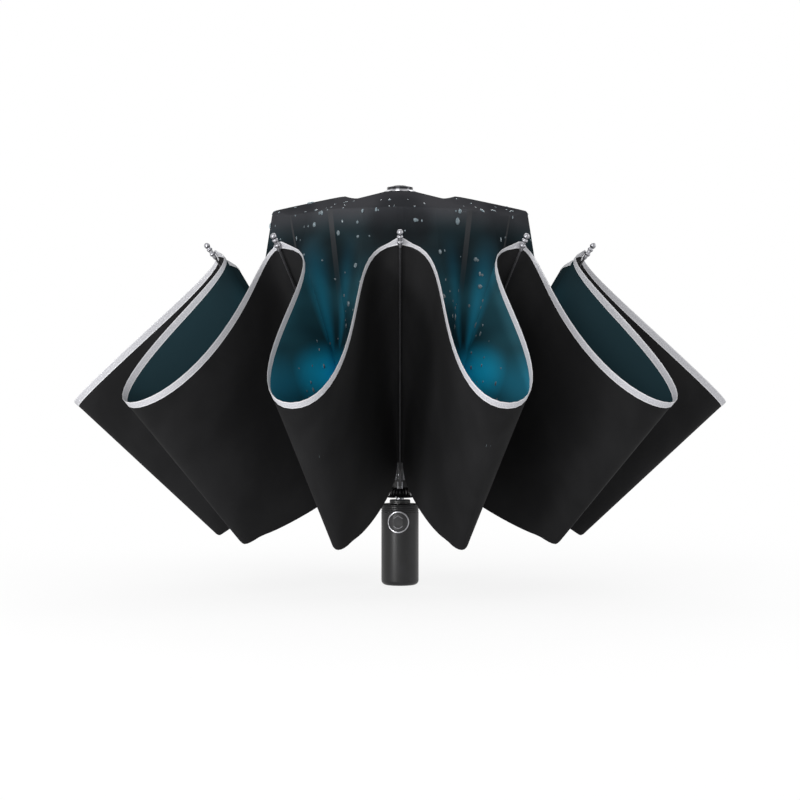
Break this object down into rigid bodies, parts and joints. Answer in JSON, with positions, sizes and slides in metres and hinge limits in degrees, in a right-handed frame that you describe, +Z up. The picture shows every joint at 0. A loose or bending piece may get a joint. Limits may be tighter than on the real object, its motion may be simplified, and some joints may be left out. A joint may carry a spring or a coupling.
{
  "type": "folding umbrella",
  "caption": "Folding umbrella standing half folded on its torch handle, with three-bar ribs, a runner, a telescoping shaft and black taped cloth that falls in lobes.",
  "frame": {"origin": "centre of the handle's base, on the shaft's axis", "axes": "+Z up along the shaft to the crown; -Y is the front, where the opening button and rib 0 are; +X to the right seen from the front"},
  "size_m": [0.5992, 0.5768, 0.3845],
  "materials": {
    "matte_handle": "satin soft-touch black",
    "black_plastic": "satin",
    "gloss_black": "gloss",
    "button_black": "satin",
    "soft_rubber": "matt",
    "satin_ring": "satin",
    "bright_steel": "satin",
    "black_steel": "satin black",
    "chrome": "polished",
    "clear_lens": "clear",
    "mirror_cone": "polished",
    "board_green": "satin",
    "black_cloth": "matt woven",
    "silver_tape": "reflective weave"
  },
  "bodies": {
    "handle": {"handle_grip": "matte_handle", "handle_collar": "black_plastic", "button_ring": "satin_ring", "button_spring": "bright_steel", "led_end_cap": "black_plastic", "led_lens": "clear_lens", "led_reflector": "mirror_cone", "led_board": "board_green", "battery": "bright_steel", "lower_tube": "bright_steel"},
    "middle_shaft": {"middle_tube": "bright_steel"},
    "upper_shaft": {"upper_tube": "bright_steel", "crown_hub": "black_plastic", "crown_cap": "chrome", "canopy": "black_cloth", "edge_binding": "silver_tape"},
    "runner_assembly": {"runner": "black_plastic", "runner_bell": "gloss_black"},
    "opening_button": {"open_close_button": "button_black"},
    "torch_button": {"torch_switch": "soft_rubber"},
    "top_rib_body_0": {"top_rib_0": "black_steel"},
    "middle_rib_body_0": {"middle_rib_0": "bright_steel"},
    "outer_rib_body_0": {"outer_rib_0": "bright_steel"},
    "stretcher_body_0": {"stretcher_0": "black_steel"},
    "top_rib_body_1": {"top_rib_1": "black_steel"},
    "middle_rib_body_1": {"middle_rib_1": "bright_steel"},
    "outer_rib_body_1": {"outer_rib_1": "bright_steel"},
    "stretcher_body_1": {"stretcher_1": "black_steel"},
    "top_rib_body_2": {"top_rib_2": "black_steel"},
    "middle_rib_body_2": {"middle_rib_2": "bright_steel"},
    "outer_rib_body_2": {"outer_rib_2": "bright_steel"},
    "stretcher_body_2": {"stretcher_2": "black_steel"},
    "top_rib_body_3": {"top_rib_3": "black_steel"},
    "middle_rib_body_3": {"middle_rib_3": "bright_steel"},
    "outer_rib_body_3": {"outer_rib_3": "bright_steel"},
    "stretcher_body_3": {"stretcher_3": "black_steel"},
    "top_rib_body_4": {"top_rib_4": "black_steel"},
    "middle_rib_body_4": {"middle_rib_4": "bright_steel"},
    "outer_rib_body_4": {"outer_rib_4": "bright_steel"},
    "stretcher_body_4": {"stretcher_4": "black_steel"},
    "top_rib_body_5": {"top_rib_5": "black_steel"},
    "middle_rib_body_5": {"middle_rib_5": "bright_steel"},
    "outer_rib_body_5": {"outer_rib_5": "bright_steel"},
    "stretcher_body_5": {"stretcher_5": "black_steel"},
    "top_rib_body_6": {"top_rib_6": "black_steel"},
    "middle_rib_body_6": {"middle_rib_6": "bright_steel"},
    "outer_rib_body_6": {"outer_rib_6": "bright_steel"},
    "stretcher_body_6": {"stretcher_6": "black_steel"},
    "top_rib_body_7": {"top_rib_7": "black_steel"},
    "middle_rib_body_7": {"middle_rib_7": "bright_steel"},
    "outer_rib_body_7": {"outer_rib_7": "bright_steel"},
    "stretcher_body_7": {"stretcher_7": "black_steel"},
    "top_rib_body_8": {"top_rib_8": "black_steel"},
    "middle_rib_body_8": {"middle_rib_8": "bright_steel"},
    "outer_rib_body_8": {"outer_rib_8": "bright_steel"},
    "stretcher_body_8": {"stretcher_8": "black_steel"},
    "top_rib_body_9": {"top_rib_9": "black_steel"},
    "middle_rib_body_9": {"middle_rib_9": "bright_steel"},
    "outer_rib_body_9": {"outer_rib_9": "bright_steel"},
    "stretcher_body_9": {"stretcher_9": "black_steel"}
  },
  "joints": [
    {"name": "middle_tube_slide", "type": "slide", "parent": "handle", "child": "middle_shaft", "axis": [0, 0, 1], "range_m": [0, 0.13]},
    {"name": "upper_tube_slide", "type": "slide", "parent": "middle_shaft", "child": "upper_shaft", "axis": [0, 0, 1], "range_m": [0, 0.13]},
    {"name": "runner_slide", "type": "slide", "parent": "upper_shaft", "child": "runner_assembly", "axis": [0, 0, 1], "range_m": [0, 0.02], "deforming": ["canopy", "edge_binding"]},
    {"name": "button_press", "type": "slide", "parent": "handle", "child": "opening_button", "axis": [0.1045, 0.9945, 0], "range_m": [0, 0.001], "stiffness_N_per_m": 1500},
    {"name": "torch_switch_press", "type": "slide", "parent": "handle", "child": "torch_button", "axis": [0, -1, 0], "range_m": [0, 0.0006], "stiffness_N_per_m": 1500},
    {"name": "top_rib_swing_0", "type": "hinge", "parent": "upper_shaft", "child": "top_rib_body_0", "pos_m": [0, -0.012, 0.3755], "axis": [-1, 0, 0], "range_deg": [0, 11.1]},
    {"name": "middle_rib_swing_0", "type": "hinge", "parent": "top_rib_body_0", "child": "middle_rib_body_0", "pos_m": [0, -0.105, 0.35], "axis": [1, 0, 0], "range_deg": [0, 11.18]},
    {"name": "outer_rib_swing_0", "type": "hinge", "parent": "middle_rib_body_0", "child": "outer_rib_body_0", "pos_m": [0, -0.06, 0.097], "axis": [1, 0, 0], "range_deg": [0, 18]},
    {"name": "stretcher_swing_0", "type": "hinge", "parent": "runner_assembly", "child": "stretcher_body_0", "pos_m": [0, -0.011, 0.098], "axis": [1, 0, 0], "range_deg": [0, 1.21]},
    {"name": "top_rib_swing_1", "type": "hinge", "parent": "upper_shaft", "child": "top_rib_body_1", "pos_m": [0.00705, -0.00971, 0.3755], "axis": [-0.809, -0.5878, 0], "range_deg": [0, 11.1]},
    {"name": "middle_rib_swing_1", "type": "hinge", "parent": "top_rib_body_1", "child": "middle_rib_body_1", "pos_m": [0.06172, -0.08495, 0.35], "axis": [0.809, 0.5878, 0], "range_deg": [0, 11.18]},
    {"name": "outer_rib_swing_1", "type": "hinge", "parent": "middle_rib_body_1", "child": "outer_rib_body_1", "pos_m": [0.03527, -0.04854, 0.097], "axis": [0.809, 0.5878, 0], "range_deg": [0, 18]},
    {"name": "stretcher_swing_1", "type": "hinge", "parent": "runner_assembly", "child": "stretcher_body_1", "pos_m": [0.00647, -0.0089, 0.098], "axis": [0.809, 0.5878, 0], "range_deg": [0, 1.21]},
    {"name": "top_rib_swing_2", "type": "hinge", "parent": "upper_shaft", "child": "top_rib_body_2", "pos_m": [0.01141, -0.00371, 0.3755], "axis": [-0.309, -0.9511, 0], "range_deg": [0, 11.1]},
    {"name": "middle_rib_swing_2", "type": "hinge", "parent": "top_rib_body_2", "child": "middle_rib_body_2", "pos_m": [0.09986, -0.03245, 0.35], "axis": [0.309, 0.9511, 0], "range_deg": [0, 11.18]},
    {"name": "outer_rib_swing_2", "type": "hinge", "parent": "middle_rib_body_2", "child": "outer_rib_body_2", "pos_m": [0.05706, -0.01854, 0.097], "axis": [0.309, 0.9511, 0], "range_deg": [0, 18]},
    {"name": "stretcher_swing_2", "type": "hinge", "parent": "runner_assembly", "child": "stretcher_body_2", "pos_m": [0.01046, -0.0034, 0.098], "axis": [0.309, 0.9511, 0], "range_deg": [0, 1.21]},
    {"name": "top_rib_swing_3", "type": "hinge", "parent": "upper_shaft", "child": "top_rib_body_3", "pos_m": [0.01141, 0.00371, 0.3755], "axis": [0.309, -0.9511, 0], "range_deg": [0, 11.1]},
    {"name": "middle_rib_swing_3", "type": "hinge", "parent": "top_rib_body_3", "child": "middle_rib_body_3", "pos_m": [0.09986, 0.03245, 0.35], "axis": [-0.309, 0.9511, 0], "range_deg": [0, 11.18]},
    {"name": "outer_rib_swing_3", "type": "hinge", "parent": "middle_rib_body_3", "child": "outer_rib_body_3", "pos_m": [0.05706, 0.01854, 0.097], "axis": [-0.309, 0.9511, 0], "range_deg": [0, 18]},
    {"name": "stretcher_swing_3", "type": "hinge", "parent": "runner_assembly", "child": "stretcher_body_3", "pos_m": [0.01046, 0.0034, 0.098], "axis": [-0.309, 0.9511, 0], "range_deg": [0, 1.21]},
    {"name": "top_rib_swing_4", "type": "hinge", "parent": "upper_shaft", "child": "top_rib_body_4", "pos_m": [0.00705, 0.00971, 0.3755], "axis": [0.809, -0.5878, 0], "range_deg": [0, 11.1]},
    {"name": "middle_rib_swing_4", "type": "hinge", "parent": "top_rib_body_4", "child": "middle_rib_body_4", "pos_m": [0.06172, 0.08495, 0.35], "axis": [-0.809, 0.5878, 0], "range_deg": [0, 11.18]},
    {"name": "outer_rib_swing_4", "type": "hinge", "parent": "middle_rib_body_4", "child": "outer_rib_body_4", "pos_m": [0.03527, 0.04854, 0.097], "axis": [-0.809, 0.5878, 0], "range_deg": [0, 18]},
    {"name": "stretcher_swing_4", "type": "hinge", "parent": "runner_assembly", "child": "stretcher_body_4", "pos_m": [0.00647, 0.0089, 0.098], "axis": [-0.809, 0.5878, 0], "range_deg": [0, 1.21]},
    {"name": "top_rib_swing_5", "type": "hinge", "parent": "upper_shaft", "child": "top_rib_body_5", "pos_m": [0, 0.012, 0.3755], "axis": [1, 0, 0], "range_deg": [0, 11.1]},
    {"name": "middle_rib_swing_5", "type": "hinge", "parent": "top_rib_body_5", "child": "middle_rib_body_5", "pos_m": [0, 0.105, 0.35], "axis": [-1, 0, 0], "range_deg": [0, 11.18]},
    {"name": "outer_rib_swing_5", "type": "hinge", "parent": "middle_rib_body_5", "child": "outer_rib_body_5", "pos_m": [0, 0.06, 0.097], "axis": [-1, 0, 0], "range_deg": [0, 18]},
    {"name": "stretcher_swing_5", "type": "hinge", "parent": "runner_assembly", "child": "stretcher_body_5", "pos_m": [0, 0.011, 0.098], "axis": [-1, 0, 0], "range_deg": [0, 1.21]},
    {"name": "top_rib_swing_6", "type": "hinge", "parent": "upper_shaft", "child": "top_rib_body_6", "pos_m": [-0.00705, 0.00971, 0.3755], "axis": [0.809, 0.5878, 0], "range_deg": [0, 11.1]},
    {"name": "middle_rib_swing_6", "type": "hinge", "parent": "top_rib_body_6", "child": "middle_rib_body_6", "pos_m": [-0.06172, 0.08495, 0.35], "axis": [-0.809, -0.5878, 0], "range_deg": [0, 11.18]},
    {"name": "outer_rib_swing_6", "type": "hinge", "parent": "middle_rib_body_6", "child": "outer_rib_body_6", "pos_m": [-0.03527, 0.04854, 0.097], "axis": [-0.809, -0.5878, 0], "range_deg": [0, 18]},
    {"name": "stretcher_swing_6", "type": "hinge", "parent": "runner_assembly", "child": "stretcher_body_6", "pos_m": [-0.00647, 0.0089, 0.098], "axis": [-0.809, -0.5878, 0], "range_deg": [0, 1.21]},
    {"name": "top_rib_swing_7", "type": "hinge", "parent": "upper_shaft", "child": "top_rib_body_7", "pos_m": [-0.01141, 0.00371, 0.3755], "axis": [0.309, 0.9511, 0], "range_deg": [0, 11.1]},
    {"name": "middle_rib_swing_7", "type": "hinge", "parent": "top_rib_body_7", "child": "middle_rib_body_7", "pos_m": [-0.09986, 0.03245, 0.35], "axis": [-0.309, -0.9511, 0], "range_deg": [0, 11.18]},
    {"name": "outer_rib_swing_7", "type": "hinge", "parent": "middle_rib_body_7", "child": "outer_rib_body_7", "pos_m": [-0.05706, 0.01854, 0.097], "axis": [-0.309, -0.9511, 0], "range_deg": [0, 18]},
    {"name": "stretcher_swing_7", "type": "hinge", "parent": "runner_assembly", "child": "stretcher_body_7", "pos_m": [-0.01046, 0.0034, 0.098], "axis": [-0.309, -0.9511, 0], "range_deg": [0, 1.21]},
    {"name": "top_rib_swing_8", "type": "hinge", "parent": "upper_shaft", "child": "top_rib_body_8", "pos_m": [-0.01141, -0.00371, 0.3755], "axis": [-0.309, 0.9511, 0], "range_deg": [0, 11.1]},
    {"name": "middle_rib_swing_8", "type": "hinge", "parent": "top_rib_body_8", "child": "middle_rib_body_8", "pos_m": [-0.09986, -0.03245, 0.35], "axis": [0.309, -0.9511, 0], "range_deg": [0, 11.18]},
    {"name": "outer_rib_swing_8", "type": "hinge", "parent": "middle_rib_body_8", "child": "outer_rib_body_8", "pos_m": [-0.05706, -0.01854, 0.097], "axis": [0.309, -0.9511, 0], "range_deg": [0, 18]},
    {"name": "stretcher_swing_8", "type": "hinge", "parent": "runner_assembly", "child": "stretcher_body_8", "pos_m": [-0.01046, -0.0034, 0.098], "axis": [0.309, -0.9511, 0], "range_deg": [0, 1.21]},
    {"name": "top_rib_swing_9", "type": "hinge", "parent": "upper_shaft", "child": "top_rib_body_9", "pos_m": [-0.00705, -0.00971, 0.3755], "axis": [-0.809, 0.5878, 0], "range_deg": [0, 11.1]},
    {"name": "middle_rib_swing_9", "type": "hinge", "parent": "top_rib_body_9", "child": "middle_rib_body_9", "pos_m": [-0.06172, -0.08495, 0.35], "axis": [0.809, -0.5878, 0], "range_deg": [0, 11.18]},
    {"name": "outer_rib_swing_9", "type": "hinge", "parent": "middle_rib_body_9", "child": "outer_rib_body_9", "pos_m": [-0.03527, -0.04854, 0.097], "axis": [0.809, -0.5878, 0], "range_deg": [0, 18]},
    {"name": "stretcher_swing_9", "type": "hinge", "parent": "runner_assembly", "child": "stretcher_body_9", "pos_m": [-0.00647, -0.0089, 0.098], "axis": [0.809, -0.5878, 0], "range_deg": [0, 1.21]}
  ],
  "couplings": [
    {"joint": "top_rib_swing_0", "follows": "runner_slide", "rad_per_m": 9.6866},
    {"joint": "middle_rib_swing_0", "follows": "runner_slide", "rad_per_m": 9.7605},
    {"joint": "outer_rib_swing_0", "follows": "runner_slide", "rad_per_m": 15.708},
    {"joint": "stretcher_swing_0", "follows": "runner_slide", "rad_per_m": 1.0558},
    {"joint": "top_rib_swing_1", "follows": "runner_slide", "rad_per_m": 9.6866},
    {"joint": "middle_rib_swing_1", "follows": "runner_slide", "rad_per_m": 9.7605},
    {"joint": "outer_rib_swing_1", "follows": "runner_slide", "rad_per_m": 15.708},
    {"joint": "stretcher_swing_1", "follows": "runner_slide", "rad_per_m": 1.0558},
    {"joint": "top_rib_swing_2", "follows": "runner_slide", "rad_per_m": 9.6866},
    {"joint": "middle_rib_swing_2", "follows": "runner_slide", "rad_per_m": 9.7605},
    {"joint": "outer_rib_swing_2", "follows": "runner_slide", "rad_per_m": 15.708},
    {"joint": "stretcher_swing_2", "follows": "runner_slide", "rad_per_m": 1.0558},
    {"joint": "top_rib_swing_3", "follows": "runner_slide", "rad_per_m": 9.6866},
    {"joint": "middle_rib_swing_3", "follows": "runner_slide", "rad_per_m": 9.7605},
    {"joint": "outer_rib_swing_3", "follows": "runner_slide", "rad_per_m": 15.708},
    {"joint": "stretcher_swing_3", "follows": "runner_slide", "rad_per_m": 1.0558},
    {"joint": "top_rib_swing_4", "follows": "runner_slide", "rad_per_m": 9.6866},
    {"joint": "middle_rib_swing_4", "follows": "runner_slide", "rad_per_m": 9.7605},
    {"joint": "outer_rib_swing_4", "follows": "runner_slide", "rad_per_m": 15.708},
    {"joint": "stretcher_swing_4", "follows": "runner_slide", "rad_per_m": 1.0558},
    {"joint": "top_rib_swing_5", "follows": "runner_slide", "rad_per_m": 9.6866},
    {"joint": "middle_rib_swing_5", "follows": "runner_slide", "rad_per_m": 9.7605},
    {"joint": "outer_rib_swing_5", "follows": "runner_slide", "rad_per_m": 15.708},
    {"joint": "stretcher_swing_5", "follows": "runner_slide", "rad_per_m": 1.0558},
    {"joint": "top_rib_swing_6", "follows": "runner_slide", "rad_per_m": 9.6866},
    {"joint": "middle_rib_swing_6", "follows": "runner_slide", "rad_per_m": 9.7605},
    {"joint": "outer_rib_swing_6", "follows": "runner_slide", "rad_per_m": 15.708},
    {"joint": "stretcher_swing_6", "follows": "runner_slide", "rad_per_m": 1.0558},
    {"joint": "top_rib_swing_7", "follows": "runner_slide", "rad_per_m": 9.6866},
    {"joint": "middle_rib_swing_7", "follows": "runner_slide", "rad_per_m": 9.7605},
    {"joint": "outer_rib_swing_7", "follows": "runner_slide", "rad_per_m": 15.708},
    {"joint": "stretcher_swing_7", "follows": "runner_slide", "rad_per_m": 1.0558},
    {"joint": "top_rib_swing_8", "follows": "runner_slide", "rad_per_m": 9.6866},
    {"joint": "middle_rib_swing_8", "follows": "runner_slide", "rad_per_m": 9.7605},
    {"joint": "outer_rib_swing_8", "follows": "runner_slide", "rad_per_m": 15.708},
    {"joint": "stretcher_swing_8", "follows": "runner_slide", "rad_per_m": 1.0558},
    {"joint": "top_rib_swing_9", "follows": "runner_slide", "rad_per_m": 9.6866},
    {"joint": "middle_rib_swing_9", "follows": "runner_slide", "rad_per_m": 9.7605},
    {"joint": "outer_rib_swing_9", "follows": "runner_slide", "rad_per_m": 15.708},
    {"joint": "stretcher_swing_9", "follows": "runner_slide", "rad_per_m": 1.0558}
  ]
}
